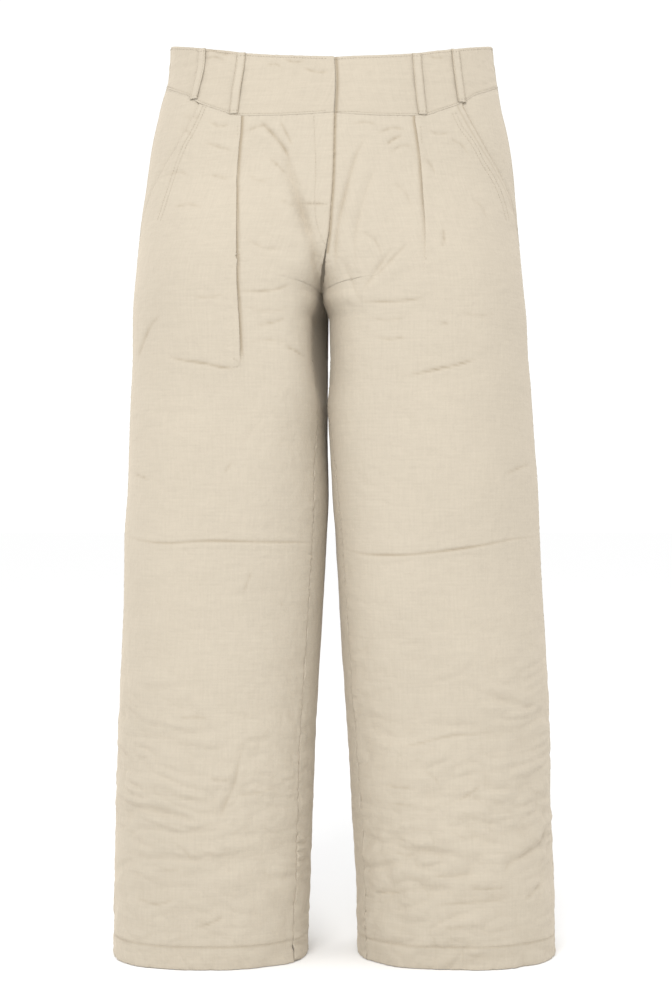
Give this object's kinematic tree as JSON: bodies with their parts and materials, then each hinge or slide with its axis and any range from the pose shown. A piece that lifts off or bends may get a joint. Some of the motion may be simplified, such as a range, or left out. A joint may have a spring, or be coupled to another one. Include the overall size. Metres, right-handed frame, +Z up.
{
  "type": "straight-leg trousers",
  "caption": "Straight-leg linen trousers with a high shaped waistband, belt loops, slanted pockets and a pleat in each front, standing open as when worn.",
  "frame": {"origin": "middle of the waist, level with the waistband where the wearer holds the trousers up", "axes": "+Z up towards the waist, -Y to the front, +X to the wearer's left"},
  "size_m": [0.4406, 0.2392, 0.9063],
  "materials": {
    "linen": "matt plain-weave linen, light sand, lightly creased",
    "linen_inner": "the same linen, on the layers behind the fronts"
  },
  "bodies": {
    "root": {"front_right": "linen", "front_left": "linen", "back_right": "linen", "back_left": "linen", "waistband_right": "linen", "waistband_left": "linen", "waistband_back": "linen", "pocket_right": "linen_inner", "pocket_left": "linen_inner", "fly_shield": "linen_inner", "belt_loop_front_right_inner": "linen", "belt_loop_front_right_outer": "linen", "belt_loop_front_left_inner": "linen", "belt_loop_front_left_outer": "linen", "belt_loop_back_right": "linen", "belt_loop_back_left": "linen", "belt_loop_back_middle": "linen"}
  },
  "joints": []
}
